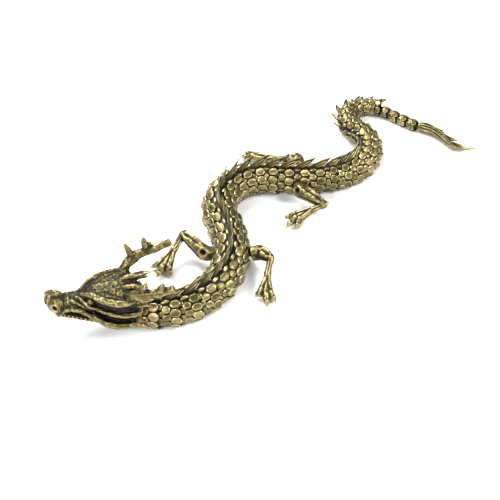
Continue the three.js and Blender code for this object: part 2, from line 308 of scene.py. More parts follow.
# A round bar along a smooth path, with one radius at each given point.
def addBar(bm, points, radii, sides=10, flatness=1.0, steps=4, wearing=0.5, ridge=0.0):
    wearLayer = bm.verts.layers.float["wear"]
    path = []
    for i, t, spot in curvePlaces([Vector(p) for p in points], steps):
        path.append((spot, radii[i] + (radii[i + 1] - radii[i]) * (3 * t * t - 2 * t ** 3)))
    ring = firstRing = startRing(bm, sides)
    unit = [v.co.copy() for v in ring]
    up = Vector((0, 0, 1))
    for i, (spot, radius) in enumerate(path):
        before = path[max(i - 1, 0)][0]
        after = path[min(i + 1, len(path) - 1)][0]
        forward = (after - before).normalized()
        side = forward.cross(up)
        side = side.normalized() if side.length > 1e-4 else Vector((0, 1, 0))
        top = side.cross(forward).normalized()
        if i:
            ring = extrudeRing(bm, ring)
        for v, u in zip(ring, unit):
            v.co = spot + side * (u.x * radius * flatness) + top * (u.y * radius)
            v[wearLayer] = wearing + ridge * (abs(u.x) - 0.6)
    closeRing(bm, firstRing, wearing)
    closeRing(bm, ring, wearing)


# Turns rows of (along, out, wear) round the x axis.
def addTurned(bm, rows, sides):
    wearLayer = bm.verts.layers.float["wear"]
    verts = []
    for along, out, wearing in rows:
        verts.append(bm.verts.new((along, 0, out)))
        verts[-1][wearLayer] = wearing
    edges = [bm.edges.new(pair) for pair in zip(verts, verts[1:])]
    bmesh.ops.spin(bm, geom=verts + edges, cent=(0, 0, 0), axis=(1, 0, 0), angle=2 * math.pi,
                   steps=sides, use_merge=True)


# Rings: a dark cup under one row of big scales at the rim and rows of smaller scales in front of it.
ringLook = {
    "scaleWidth": 4.3,
    "fewestScales": 6,
    "coreSides": 40,
    "scaleRise": 0.09,
    "bigScale": {"from": 0.41, "to": 1.10, "frontTop": 0.88, "rearTop": 1.02, "width": 0.97},
    "smallScale": {"from": -0.02, "to": 0.56, "frontTop": 0.83, "rearTop": 0.93, "width": 0.96},
    "hiddenScale": {"from": -0.2, "to": 0.16, "frontTop": 0.74, "rearTop": 0.84, "width": 0.90},
    "beadWidth": 0.5,
    # The cup's outline as (share of the length, share of the radius added to it, share of the radius out).
    "cup": [
        (0, -0.40, 0.02), (0, -0.06, 0.60), (0.02, 0, 0.66), (0.08, 0, 0.76), (0.14, 0, 0.80), (0.5, 0, 0.82),
        (0.85, 0, 0.88), (0.99, 0, 0.92), (1, 0, 0.88), (1, -0.28, 0.72), (1, -0.48, 0.02)],
    "cupInside": (0.5, 0.885),
    "cupDrop": 0.77,
    "jutSpread": 0.18,
    "widthSpread": 0.07,
    "tiltSpread": 0.35,
    "wearSpread": 0.09,
}


# Longish hexagon with its front and rear points cut off.
scaleOutline = [(1, 0.34), (0.5, 1), (-0.5, 1), (-1, 0.34), (-1, -0.34), (-0.5, -1), (0.5, -1), (1, -0.34)]
scaleFoot = -3.0         # how far a scale's wall goes down into the cup


# One boss of a scale in a unit square: x along, y across, z up in shares of its height.
def makeScaleTemplate(name, steps, centreRise):
    bm = newShape()
    wearLayer = bm.verts.layers.float["wear"]
    bmesh.ops.create_circle(bm, cap_ends=True, segments=len(scaleOutline), radius=1.0)
    for v, (along, across) in zip(bm.verts, scaleOutline):
        v.co.x, v.co.y = along, across
        v.co.z = scaleFoot
        v[wearLayer] = 0.0
    bm.faces.ensure_lookup_table()
    face = bm.faces[0]
    face.normal_update()
    if face.normal.z < 0:
        face.normal_flip()
    wall = bmesh.ops.extrude_face_region(bm, geom=[face])["geom"]
    bmesh.ops.delete(bm, geom=[face], context="FACES_ONLY")
    face = next(g for g in wall if isinstance(g, bmesh.types.BMFace))
    for v in face.verts:
        v.co.z = 0.0
        v[wearLayer] = 0.0
    for thickness, depth, wearing in steps:
        face.normal_update()
        bmesh.ops.inset_region(bm, faces=[face], thickness=thickness, depth=0.0)
        for v in face.verts:
            v.co.z += depth
            v[wearLayer] = wearing
    middle = bmesh.ops.poke(bm, faces=[face])["verts"]
    for v in middle:
        v.co.z += centreRise
        v[wearLayer] = steps[-1][2]
    mesh = bpy.data.meshes.new(name)
    bm.to_mesh(mesh)
    bm.free()
    return mesh


# Each step is (inset, rise, wear): a raised rim, a groove and a low dome.
bigTemplate = makeScaleTemplate("bigScale", [
    (0.04, 0.1, 0.0), (0.08, 0.50, 0.22), (0.12, 0.45, 0.84), (0.12, 0.08, 0.68), (0.20, 0.06, 0.52)], 0.02)
smallTemplate = makeScaleTemplate("smallScale", [
    (0.04, 0.1, 0.0), (0.11, 0.50, 0.25), (0.2, 0.42, 0.80), (0.25, 0.10, 0.58)], 0.05)
beadTemplate = makeScaleTemplate("beadScale", [(0.2, 0.5, 0.45), (0.25, 0.35, 0.72)], 0.2)


# Hand-cut scales differ a little: the same small differences every time, from the scale's place
# and angle. Its numbers only have to be uneven.
def addScale(bm, template, place, angle, scale, halfAngle):
    length, radius = place["length"], place["radius"]
    wearLayer = bm.verts.layers.float["wear"]
    seed = 37.0 * angle + 0.61 * place["x"] + 0.47 * place["y"] + 5.0 * scale["from"]
    jut = ringLook["jutSpread"] * math.sin(3.1 * seed)
    halfAngle *= 1.0 + ringLook["widthSpread"] * math.sin(5.3 * seed)
    tilt = ringLook["tiltSpread"] * math.sin(4.3 * seed)
    polish = ringLook["wearSpread"] * math.sin(7.7 * seed)
    start = len(bm.verts)
    bm.from_mesh(template)
    bm.verts.ensure_lookup_table()
    middle = (scale["from"] + scale["to"]) / 2
    half = (scale["to"] - scale["from"]) / 2
    rise = ringLook["scaleRise"] * radius
    for v in bm.verts[start:]:
        share = (v.co.x + 1) / 2
        top = radius * (scale["frontTop"] + (scale["rearTop"] - scale["frontTop"]) * share)
        reach = top + (v.co.z - 0.75 + tilt * v.co.y) * rise
        turned = angle + v.co.y * halfAngle
        if v[wearLayer] > 0.3:
            v[wearLayer] += polish
        v.co = Vector((
            (middle + v.co.x * half) * length + jut,
            -reach * math.sin(turned),
            max(reach * math.cos(turned), -chainPlan["bellyDrop"] * radius)))


# The dark cup that carries the scales and takes the next ring's front.
def addCore(bm, place):
    length, radius = place["length"], place["radius"]
    rows = [(share * length + more * radius, out * radius, 0.0) for share, more, out in ringLook["cup"]]
    addTurned(bm, rows, ringLook["coreSides"])
    ends = [e for e in bm.edges if e.is_boundary]
    bmesh.ops.holes_fill(bm, edges=ends, sides=ringLook["coreSides"])
    depth, width = ringLook["cupInside"]
    for v in bm.verts:
        isInner = v.co.x > length - depth * radius and math.hypot(v.co.y, v.co.z) < width * radius
        drop = ringLook["cupDrop"] if isInner else chainPlan["bellyDrop"] - 0.01
        v.co.z = max(v.co.z, -drop * radius)


# Each ridge runs back along the fin: (share of the length, share of the radius back, share of it up,
# half height).
finLook = {
    "plateHalf": 0.42,
    "ridges": [
        [(0.30, 0, 0.93, 0.50), (0.62, 0, 1.15, 0.66), (0.92, 0.0, 1.35, 0.62), (1.0, 0.55, 1.61, 0.14)],
        [(0.22, 0, 0.78, 0.50), (0.60, 0, 0.98, 0.66), (1.00, 0.0, 1.22, 0.60), (1.0, 0.46, 1.48, 0.14)],
        [(0.40, 0, 0.74, 0.50), (0.80, 0, 0.92, 0.62), (1.00, 0.12, 1.10, 0.52), (1.0, 0.34, 1.31, 0.14)],
        [(0.64, 0, 0.70, 0.45), (1.00, 0, 0.88, 0.50), (1.00, 0.16, 1.05, 0.16)],
    ],
    "thinning": 0.5,
    "wear": 0.56,
    "crevice": 0.9,
    "topCrevice": 0.1,
    "rootWear": 0.55,
    "tipWear": 1.35,
}


# The flame's outline, as on the solid.
def finOutline(place):
    length, radius, height = place["length"], place["radius"], place["finHeight"]
    low = 1 - height
    corners = [
        (0.14, 0, 0.58), (1, -0.5, 0.6), (1, -0.24, 0.79), (1, 0, 0.94), (1, 0.08, 1 + 0.12 * height),
        (1, 0.53 * height, 1 + 0.60 * height), (0.8 + 0.2 * low, 0, 1 + 0.30 * height),
        (0.35 + 0.6 * low, 0, 0.96 - 0.45 * low)]
    return [(share * length + back * radius, up * radius) for share, back, up in corners]


def addFin(bm, place):
    length, radius = place["length"], place["radius"]
    height = place["finHeight"]
    size = radius / 8
    start = len(bm.verts)
    half = finLook["plateHalf"] * size
    plate = bm.faces.new([bm.verts.new((along, -half, up)) for along, up in finOutline(place)])
    grown = bmesh.ops.extrude_face_region(bm, geom=[plate])["geom"]
    farSide = [g for g in grown if isinstance(g, bmesh.types.BMVert)]
    bmesh.ops.translate(bm, vec=(0, 2 * half, 0), verts=farSide)
    for number, ridge in enumerate(finLook["ridges"]):
        points = []
        for share, back, up, _ in ridge:
            share += 0.45 * (1 - height) * (1 - share)
            rise = 0.9 + (up - 0.9) * height if up > 0.9 else up - 0.1 * (1 - height)
            points.append((share * length + back * radius * height, 0, rise * radius))
        radii = [thick * size for *_, thick in ridge]
        crevice = finLook["crevice" if number else "topCrevice"]
        addBar(bm, points, radii, sides=8, steps=4, wearing=finLook["wear"], ridge=crevice)
    bm.verts.ensure_lookup_table()
    wearLayer = bm.verts.layers.float["wear"]
    front, rear = 0.35 * length, length + 0.5 * radius * height
    for v in bm.verts[start:]:
        share = min(max((v.co.z / radius - 0.9) / 0.7, 0.0), 1.0)
        v.co.y *= 1.0 - finLook["thinning"] * share
        share = min(max((v.co.x - front) / (rear - front), 0.0), 1.0)
        v[wearLayer] *= finLook["rootWear"] + (finLook["tipWear"] - finLook["rootWear"]) * share
    turn = Matrix.Rotation(place["roll"], 4, "X")
    bmesh.ops.transform(bm, matrix=turn, verts=bm.verts[start:])


def makeRing(place, name):
    bm = newShape()
    addCore(bm, place)
    bm = repacked(bm)
    around = max(ringLook["fewestScales"], round(2 * math.pi * place["radius"] / ringLook["scaleWidth"]))
    step = 2 * math.pi / around
    big, small, hidden = ringLook["bigScale"], ringLook["smallScale"], ringLook["hiddenScale"]
    for k in range(around):
        if k:
            addScale(bm, bigTemplate, place, k * step + place["roll"], big, big["width"] * step / 2)
            addScale(bm, smallTemplate, place, k * step + place["roll"], hidden, hidden["width"] * step / 2)
        isBead = k in (0, around - 1)
        template = beadTemplate if isBead else smallTemplate
        width = ringLook["beadWidth"] if isBead else small["width"]
        addScale(bm, template, place, (k + 0.5) * step + place["roll"], small, width * step / 2)
    addFin(bm, place)
    bm.transform(placeMatrix(place))
    return finishPiece(bm, name, [name])


ringNumber = 0
for place in places:
    if place["isRing"]:
        ringNumber += 1
        makeRing(place, f"ring_{ringNumber:02d}")
print("rings made:", ringNumber)


# Clay pieces: overlapping bars and bodies are fused on a fine grid, then carved by strokes.
def fuse(bm, voxel):
    mesh = bpy.data.meshes.new("clay")
    bm.to_mesh(mesh)
    bm.free()
    clay = bpy.data.objects.new("clay", mesh)
    bpy.context.scene.collection.objects.link(clay)
    remesh = clay.modifiers.new("fuse", "REMESH")
    remesh.mode = "VOXEL"
    remesh.voxel_size = voxel
    posed = clay.evaluated_get(bpy.context.evaluated_depsgraph_get())
    fused = bpy.data.meshes.new_from_object(posed)
    bpy.data.objects.remove(clay)
    return fused


class Clay:
    def __init__(self, mesh):
        self.mesh = mesh
        count = len(mesh.vertices)
        self.points = np.empty(count * 3)
        mesh.vertices.foreach_get("co", self.points)
        self.points = self.points.reshape(-1, 3)
        ends = np.empty(len(mesh.edges) * 2, dtype=np.int64)
        mesh.edges.foreach_get("vertices", ends)
        self.first, self.second = ends.reshape(-1, 2).T
        self.degree = np.bincount(ends, minlength=count)
        self.relief = np.zeros(count)
        # Painted shade: lowers the colour level along shaded grooves and gaps, and in holes.
        self.paintedShade = np.zeros(count)

    def averaged(self, values):
        columns = []
        for column in values.T:
            total = np.bincount(self.first, column[self.second], len(column))
            total += np.bincount(self.second, column[self.first], len(column))
            columns.append(total / self.degree)
        return np.stack(columns, axis=1)

    def smooth(self, rounds, strength=0.5):
        for _ in range(rounds):
            self.points += (self.averaged(self.points) - self.points) * strength

    def normals(self):
        self.mesh.vertices.foreach_set("co", self.points.ravel())
        self.mesh.update()
        found = np.empty(len(self.points) * 3)
        self.mesh.vertex_normals.foreach_get("vector", found)
        return found.reshape(-1, 3)

    # Distance of every vertex to a smooth line, and how far along the line its nearest place is.
    def along(self, line):
        path = smoothPath(line, 6)
        best = np.full(len(self.points), np.inf)
        share = np.zeros(len(self.points))
        low, high = path.min(axis=0) - 6, path.max(axis=0) + 6
        near = np.flatnonzero(((self.points > low) & (self.points < high)).all(axis=1))
        spots = self.points[near]
        reach = np.full(len(near), np.inf)
        place = np.zeros(len(near))
        for i in range(len(path) - 1):
            step = path[i + 1] - path[i]
            t = np.clip(((spots - path[i]) @ step) / max(step @ step, 1e-9), 0, 1)
            gap = np.linalg.norm(spots - path[i] - t[:, None] * step, axis=1)
            closer = gap < reach
            reach[closer] = gap[closer]
            place[closer] = (i + t[closer]) / (len(path) - 1)
        best[near] = reach
        share[near] = place
        return best, share

    # Raises, or with a negative height carves, a soft line of the given half width.
    def stroke(self, line, width, height, taper=0.25):
        gap, share = self.along(line)
        ends = np.clip(np.minimum(share, 1 - share) / taper, 0, 1) if taper else 1.0
        self.relief += height * np.exp(-(gap / width) ** 2) * ends

    # Paints shade along a soft line without moving anything: darkens the colour where a groove or gap lies in
    # shadow.
    def shade(self, line, width, amount):
        gap, _ = self.along(line)
        self.paintedShade -= amount * np.exp(-(gap / width) ** 2)

    # Uneven cast skin: low lumps from crossed waves.
    def lumps(self, pitch, height):
        skewed = np.array([[0.8, -0.5, 0.3], [0.4, 0.8, -0.6], [-0.3, 0.5, 0.9]])
        turn = self.points @ skewed * (2 * math.pi / pitch)
        waves = np.sin(turn) + 0.6 * np.sin(1.9 * turn[:, [1, 2, 0]] + 1.3)
        self.relief += height * waves.mean(axis=1)

    # Swells a bar into knots, as many as asked for along its line.
    def knots(self, line, reach, height, count):
        gap, share = self.along(line)
        near = np.clip((reach - gap) * 2, 0, 1)
        swell = np.sin(2 * math.pi * count * share) + 0.6 * np.sin(11 * share + self.points[:, 2])
        self.relief += near * height * swell

    # A soft round bump or pit; its hole shade paints shade into the pit.
    def dimple(self, centre, width, height, holeShade=0.0):
        gap = np.linalg.norm(self.points - np.array(centre), axis=1)
        spot = np.exp(-(gap / width) ** 4)
        self.relief += height * spot
        self.paintedShade -= holeShade * spot

    def apply(self):
        self.points += self.normals() * self.relief[:, None]
        self.relief[:] = 0

    # Rubbed bright where the surface stands proud of its surroundings, dark with patina where it is sunk; the
    # painted shade of the shade lines and holes is added on top.
    def wear(self, base, fine, broad, fineRounds=4, broadRounds=45):
        normals = self.normals()
        start = self.points.copy()
        self.smooth(fineRounds)
        proudFine = ((start - self.points) * normals).sum(axis=1)
        self.smooth(broadRounds)
        proudBroad = ((start - self.points) * normals).sum(axis=1)
        self.points = start
        proudFine = np.clip(proudFine / proudFine.std(), -2.5, 1.6)
        proudBroad = np.clip(proudBroad / proudBroad.std(), -2.5, 1.2)
        return np.clip(base + fine * proudFine + broad * proudBroad + self.paintedShade, 0, 0.85)

    def finish(self, wear):
        self.mesh.vertices.foreach_set("co", self.points.ravel())
        attribute = self.mesh.attributes.new("wear", "FLOAT", "POINT")
        attribute.data.foreach_set("value", wear.astype(np.float32))
        self.mesh.update()
        return self.mesh


# A closed body along x through sections given as (x, half width, bottom, top).
def addSections(bm, sections, sides=24, squareness=0.8, steps=3):
    ring = firstRing = startRing(bm, sides)
    unit = [[math.copysign(abs(value) ** squareness, value) for value in v.co.xy] for v in ring]
    for i, (x, half, bottom, top) in enumerate(smoothPath(sections, steps)):
        if i:
            ring = extrudeRing(bm, ring)
        for v, (side, rise) in zip(ring, unit):
            v.co = (x, side * half, (top + bottom) / 2 + rise * (top - bottom) / 2)
    closeRing(bm, firstRing, 0.5)
    closeRing(bm, ring, 0.5)


def addBall(bm, centre, radius):
    bmesh.ops.create_icosphere(bm, subdivisions=3, radius=radius, matrix=Matrix.Translation(centre))


# The head: its own frame runs forward along x from the neck, with y to its left and z up.
headPlan = {
    "height": 8.8,
    "yaw": 188.0,
    "pitch": 11.5,
    "voxel": 0.30,
    "skull": [
        (4.2, 8.0, -3.6, 12.4), (9, 8.6, -3.8, 13.8), (14, 7.4, -3.6, 13.0), (19, 5.8, -3.0, 11.6),
        (22.5, 4.7, -2.6, 10.0), (25.4, 4.2, -2.4, 7.4), (28.4, 4.0, -2.4, 5.4), (33, 4.1, -2.8, 4.4),
        (37, 5.2, -3.4, 5.2), (40, 4.6, -3.2, 4.2), (41.0, 3.0, -1.8, 2.6)],
    "crown": [
        (4.2, 9.2, 7.2, 12.8), (9, 9.6, 7.4, 13.8), (14, 8.4, 7.4, 13), (19, 6.2, 7, 11.4), (23, 4.4, 6, 9.6),
        (26, 2.8, 4.4, 7)],
    "collar": [(0.3, 7.8, -5.6, 10.2), (2.5, 8.2, -5.6, 11.2), (4.6, 8.6, -5.6, 12.2)],
    "cup": (-2.3, 5.7, 4.0),
    "jaw": [
        (4.2, 8.4, -4.4, -1), (12, 8.4, -4.9, -1), (20, 7.4, -4.4, -1.2), (29, 5.5, -4.6, -1.3),
        (38, 3.9, -4.6, -1.8)],
    "noseBump": ([(40, 0, 3.8), (37.6, 0, 5.6), (33.4, 0, 4.4)], [1.2, 1.6, 0.8]),
    "bars": [
        ([(26.4, 1.6, 7.0), (24.6, 3.0, 8.4), (21.4, 5.2, 10.0), (17.5, 7.6, 10), (12.5, 9.4, 10.4),
          (8.5, 10.2, 11.4), (4.6, 11.2, 13.6)], [0.7, 1.0, 1.4, 1.6, 1.7, 1.4, 0.3]),
        ([(37, 4.2, -1.9), (32, 4.1, 0.2), (28.6, 4.5, 1), (25, 5.5, 1), (20.7, 7.2, 0), (17, 8.2, -1.4)],
         [1.1, 1.0, 1.1, 1.2, 1.2, 0.8]),
        ([(19.3, 7, 4), (14.3, 8.3, 3.7), (9.4, 9.2, 3.4), (3.9, 9.4, 4.4), (0.4, 9, 6.4)],
         [0.9, 1.3, 1.4, 1.2, 0.6]),
        ([(20.9, 6.8, 1.6), (18.5, 7.9, 0), (15.4, 8.8, -1.8), (10.4, 9.3, -2.8), (6.2, 9.3, -2.6),
          (3, 9, -1.4)], [0.9, 1.2, 1.5, 1.6, 1.4, 0.8]),
        ([(4.5, 9, -1.8), (0.1, 9.6, -1.6), (-3.8, 10, -3.2)], [1.4, 1.1, 0.25]),
        ([(9, 6.8, 7.4), (5.8, 7.4, 9.4), (0.9, 8, 11.4), (-3.8, 8.4, 12.8)], [1.5, 1.8, 1.4, 0.25]),
        ([(10, 2.5, 12), (5.5, 3.2, 14.4), (0.6, 3.8, 15.4)], [1.7, 1.4, 0.3]),
        ([(6.4, 7.6, 7.4), (1.4, 8.4, 9.4), (-3.4, 9, 9)], [1.7, 1.2, 0.3]),
        ([(28.4, 1.4, 5.4), (26.6, 2.6, 5.9), (24.4, 4.8, 5.6), (22.6, 6.0, 4.4), (19.5, 6.9, 4.5),
          (15, 7.6, 5.4)], [0.5, 0.7, 0.8, 0.85, 0.7, 0.4]),
        ([(30.8, 0.6, 4.4), (31.1, 2.3, 3.9), (31, 3.6, 2.8)], [0.6, 0.8, 0.6]),
        ([(30.2, 2.2, 4.2), (28.2, 3.2, 4.0), (25.6, 4.1, 3.2), (23.2, 5.5, 2.9), (20, 6.9, 3.2),
          (16, 7.9, 4.2)], [0.5, 0.65, 0.65, 0.6, 0.6, 0.4]),
        ([(30.4, 3.6, 2.5), (28.3, 3.8, 2.1), (25.4, 4.5, 1.8), (22.8, 5.6, 1.5)], [0.4, 0.5, 0.5, 0.3]),
        ([(36.4, 1.6, 4.2), (35, 2.9, 3.6), (34, 3.9, 2.0)], [0.8, 0.8, 0.7]),
        ([(40.4, 0.4, 4.6), (40.9, 1.2, 2.8), (41.0, 1.4, 0.6)], [0.6, 0.7, 0.6]),
        ([(38.6, 4.2, 3.0), (37.2, 4.9, 1.8), (36.6, 5.0, -0.6)], [0.5, 0.7, 0.5]),
        ([(38.4, 4.6, -2.4), (36, 4.7, -2.0), (33, 4.4, -0.4), (30.4, 4.5, 0.8)], [1.1, 1.2, 1.1, 1.0]),
    ],
    "eye": ((22, 5.3, 7.4), 1.7),
    "nostrilBulb": ((38.5, 2.9, -0.4), 2.3),
    "antlers": [
        (1, [(6.2, 7.4, 10), (6.5, 8.6, 13.8), (3.2, 11.3, 17.9), (-0.9, 12.8, 20.3), (-5, 13.7, 22.4),
             (-9.3, 14.2, 25.2)],
         [(3, 11.2, 18.4), (2.3, 11.6, 22.2), (1.9, 11.5, 25.2)],
         [(-3.6, 13.4, 21.8), (-4.2, 13.8, 24.8), (-4.5, 13.7, 27.3)]),
        (-1, [(8, 7.4, 10), (8.3, 8.6, 13.8), (4.5, 11.3, 17.9), (-0.8, 12.8, 20.3), (-5.7, 13.7, 22.4),
              (-10.3, 14.2, 25.2)],
         [(5.2, 11, 18.2), (7.6, 11.4, 21.8), (9.7, 11.5, 25.2)],
         [(-0.4, 12.8, 20.8), (0.9, 13.6, 24.2), (1.6, 13.7, 27.3)]),
    ],
    "antlerRadii": ([2.6, 2.5, 2.3, 2.0, 1.8, 1.9], [1.7, 1.4, 0.5], [1.7, 1.5, 0.6]),
    # Carved lines on each side: (points, half width, height).
    "strokes": [
        ([(34, 5.2, -1.2), (30, 5.4, -0.7), (24, 6.8, -0.6), (19, 7.9, -2.0)], 0.35, -0.4),
        ([(22.5, 6.6, 2.6), (17, 8.2, 1.6), (11, 9.4, 0.6), (4, 9.6, 1.6)], 1.1, -1.5),
        ([(20, 7.2, 6.4), (14, 8.6, 6.2), (8, 9.6, 6.6), (3, 9.8, 8)], 1.2, -1.4),
        ([(29.6, 3.4, 3.2), (25.6, 4.4, 2.5), (22.4, 6.2, 2.2)], 0.35, -0.5),
        ([(29, 2.4, 5.0), (25.4, 4.2, 4.6), (22.6, 6.0, 3.6)], 0.4, -0.6),
        ([(30, 4.4, 1.6), (26, 5.0, 1.6), (22.5, 6.6, 1.2)], 0.35, -0.5),
        ([(33.4, 1.0, 4.6), (33.2, 3.4, 3.0), (32.8, 4.2, 1.0)], 0.5, -0.35),
        ([(25.4, 1.6, 8.4), (20, 3.6, 12), (13, 6.6, 12.6), (7, 9.6, 12.6)], 0.8, -0.8),
        ([(24.8, 3.6, 7.0), (22, 5.4, 5.8), (19, 6.8, 7.0)], 0.5, -0.7),
        ([(25, 3.6, 7.8), (22, 6.0, 8.8), (19, 7.2, 8.2)], 0.45, -0.7),
        ([(16, 7.0, 11.8), (12, 8.4, 12.2), (8, 10, 13)], 0.4, -0.4),
        ([(12.6, 9.0, 4.6), (7, 10.2, 4.6), (3, 10.2, 5.6)], 0.3, -0.35),
        ([(14, 9.8, -1.6), (9, 10.4, -2.0), (5, 10.2, -1.6)], 0.3, -0.35),
    ],
    # Lines of painted shade on each side, along the mouth, the grooves and the hollows between bars: (points,
    # half width, amount).
    "shades": [
        ([(34, 5.2, -1.2), (30, 5.4, -0.7), (24, 6.8, -0.6), (19, 7.9, -2.0)], 0.5, 0.12),
        ([(22.5, 6.4, 2.6), (17, 7.6, 1.6), (11, 8.4, 0.6), (4, 8.8, 1.6)], 1.6, 0.30),
        ([(20, 6.8, 6.4), (14, 7.6, 6.2), (8, 8.4, 6.6), (3, 8.8, 8)], 1.8, 0.35),
        ([(24, 3.8, 7.6), (22, 6.0, 7.4), (19.4, 6.4, 7.2)], 1.2, 0.30),
        ([(24, 0.5, 9.4), (18, 2.5, 12), (12, 3.5, 13), (6, 4.5, 13)], 2.6, 0.14),
        ([(33, 0, 4.6), (30, 0, 5), (27, 0, 6.2)], 1.6, 0.12),
    ],
    "nostrils": [(1, (40.0, 4.6, 1.1)), (-1, (41.1, 0.8, -0.2))],
    # Dimples as (width, height, painted shade): a raised lip, then the hole, darkened with painted shade.
    "nostrilDimples": [(1.71, 0.35, 0.0), (0.95, -2.2, 0.8)],
    "teeth": {"front": (32.0, 5.2, -1.2), "rear": (21.6, 7.5, -1.2), "count": 7, "width": 0.6, "drop": 1.6},
    "browScales": {"pitch": 1.5, "height": 0.13},
    "antlerKnots": (3.0, 0.22, 3),
    "lumps": (2.6, 0.12),
    "wear": (0.36, 0.15, 0.15),
    "noseTurn": {"from": 32, "over": 7, "amount": 0.45, "pivot": -3.2},
    "farLobe": ([(-0.2, -13.4, 21.4), (-1.4, -13.9, 23.4), (-1.8, -14, 25.1)], [1.2, 1.0, 0.5]),
}


def toSide(points, side):
    return [(x, side * y, z) for x, y, z in points]


# Turns the tip of the snout a little away from the middle.
def turnNose(x, y, look):
    share = np.clip((x - look["from"]) / look["over"], 0, 1)
    return x - look["amount"] * share * (y - look["pivot"])


# Rows of small raised scales on top of the head between the brows.
def foreheadScales(points, look):
    x, y, z = points.T
    x = x + 0.5 * np.sin(0.9 * y) + 0.3 * np.sin(1.7 * y + x)
    y = y + 0.4 * np.sin(0.8 * x)
    row = np.floor(x / look["pitch"])
    across = (y + 0.5 * look["pitch"] * (row % 2)) / look["pitch"]
    u = x / look["pitch"] - row - 0.5
    v = across - np.floor(across) - 0.5
    bump = np.clip(1 - 2.2 * np.hypot(u, v), -0.3, 1)
    inside = np.clip((x - 3) / 3, 0, 1) * np.clip((25 - x) / 3, 0, 1) * np.clip((z - 9) / 1.5, 0, 1)
    inside *= np.clip((9 - np.abs(y)) / 2, 0, 1) * np.clip(15.5 - z, 0, 1)
    return look["height"] * bump * inside


def makeHead(plan):
    bm = newShape()
    for part in ("skull", "jaw", "crown", "collar"):
        addSections(bm, plan[part])
    addBar(bm, *plan["noseBump"], sides=12)
    for side in (1, -1):
        for points, radii in plan["bars"]:
            addBar(bm, toSide(points, side), radii, sides=12, steps=6)
        for centre, radius in (plan["eye"], plan["nostrilBulb"]):
            addBall(bm, toSide([centre], side)[0], radius)
        teeth = plan["teeth"]
        front, rear = (Vector(toSide([teeth[end]], side)[0]) for end in ("front", "rear"))
        for k in range(teeth["count"]):
            root = front.lerp(rear, k / (teeth["count"] - 1))
            addBar(bm, [root, root - Vector((0, 0, teeth["drop"]))], [teeth["width"], 0.5 * teeth["width"]])
    for side, *lines in plan["antlers"]:
        for points, radii in zip(lines, plan["antlerRadii"]):
            addBar(bm, toSide(points, side), radii, sides=12, steps=6)
    addBar(bm, *plan["farLobe"], sides=12)
    clay = Clay(fuse(bm, plan["voxel"]))
    clay.smooth(2)
    for side in (1, -1):
        for line, width, height in plan["strokes"]:
            clay.stroke(toSide(line, side), width, height)
        # Carve the strokes, then paint shade along the shade lines.
        for line, width, amount in plan["shades"]:
            clay.shade(toSide(line, side), width, amount)
    for side, centre in plan["nostrils"]:
        for dimple in plan["nostrilDimples"]:
            clay.dimple(toSide([centre], side)[0], *dimple)
    for side, beam, *_ in plan["antlers"]:
        clay.knots(toSide(beam, side), *plan["antlerKnots"])
    clay.relief += foreheadScales(clay.points, plan["browScales"])
    clay.lumps(*plan["lumps"])
    clay.apply()
    clay.smooth(1)
    cupMiddle, cupRadius, cupDepth = plan["cup"]
    inCup = np.hypot(clay.points[:, 1], clay.points[:, 2] - cupMiddle) < cupRadius
    clay.points[:, 0] = np.where(inCup, np.maximum(clay.points[:, 0], cupDepth), clay.points[:, 0])
    clay.points[:, 0] = turnNose(clay.points[:, 0], clay.points[:, 1], plan["noseTurn"])
    mesh = clay.finish(clay.wear(*plan["wear"]))
    neckX, neckY, _ = chainPlan["neck"]
    centre = chainPlan["layoutCentre"]
    place = (Matrix.Translation((neckX - centre[0], neckY - centre[1], plan["height"]))
             @ Matrix.Rotation(math.radians(plan["yaw"]), 4, "Z")
             @ Matrix.Rotation(math.radians(-plan["pitch"]), 4, "Y"))
    mesh.transform(place)
    return addPiece(mesh, "head", ["head"])


makeHead(headPlan)
print("head made")

legPlan = {
    "voxel": 0.24,
    "rootHeight": 7.2,
    "shoulderHeight": 8.0,
    "shoulderReach": 3.9,
    "pegPlace": 0.42,
    "pegRadius": 1.2,
    "toeTip": 0.9,
    "thighRadii": [3.2, 3.6, 3.0, 2.0],
    "spurLength": 2.4,
    "shinRadii": [0.5, 1.9, 1.6, 1.7],
    "toeRadii": [1.6, 1.8, 1.3, 1.4, 0.35],
    # Along each toe: the share of the way from the wrist to the tip, and the height.
    "toeBends": [(0.45, 3.2), (0.68, 2.4), (0.76, 2.1)],
    # Lines carved along the thigh: (height, sideways, half width, height of the cut).
    "muscles": [(2.7, -1.2, 0.7, 0.6), (2.6, 0.5, 0.6, -0.9), (1.4, 2.0, 0.8, 0.5), (0.2, 2.9, 0.6, -0.7),
                (2.6, -2.4, 0.6, -0.7)],
    # Painted shade along the carved thigh grooves: (half width, amount).
    "muscleShade": (0.9, 0.2),
    "shinGroove": (0.35, -0.6),
    "shinOffsets": (-1.0, 0.0, 1.0),
    "toeGroove": (0.5, -0.7),
    # The pin hole at the root of each leg, darkened with painted shade, as dimples of (width, height, painted
    # shade).
    "socket": [(2.3, 0.3, 0.0), (1.45, -2.6, 0.7)],
    "socketHeight": 9.7,
    "socketForward": 2.0,
    "lumps": (3.1, 0.10),
    "wear": (0.36, 0.15, 0.12),
    # Name, index of its ring, side, elbow, wrist, tips of the toes, and how far out its pin hole is.
    "legs": [
        ("leg_front_left", 7, -1, (9.2, -16.2, 10.2), (6.6, -29.4, 4.2),
         [(2.4, -31.2), (7.4, -37.2), (11.4, -34.2)], 4.2),
        ("leg_front_right", 7, 1, (-30.2, -1.2, 10.6), (-37.4, -12.4, 4.2),
         [(-44.6, -12.6), (-41.6, -19.2), (-34.9, -18.6)], 4.2),
        ("leg_hind_left", 18, -1, (34.6, 22.0, 8.4), (24.6, 20.8, 4.0),
         [(15.8, 20.6), (16.6, 14.0), (21.4, 12.4)], 5.7),
        ("leg_hind_right", 18, 1, (17.8, 56.8, 7.6), (6.0, 61.8, 4.2),
         [(-2.6, 64.4), (-5.0, 67.0), (-3.2, 70.4)], 5.7),
    ],
}


def upward(height):
    return Vector((0, 0, height))


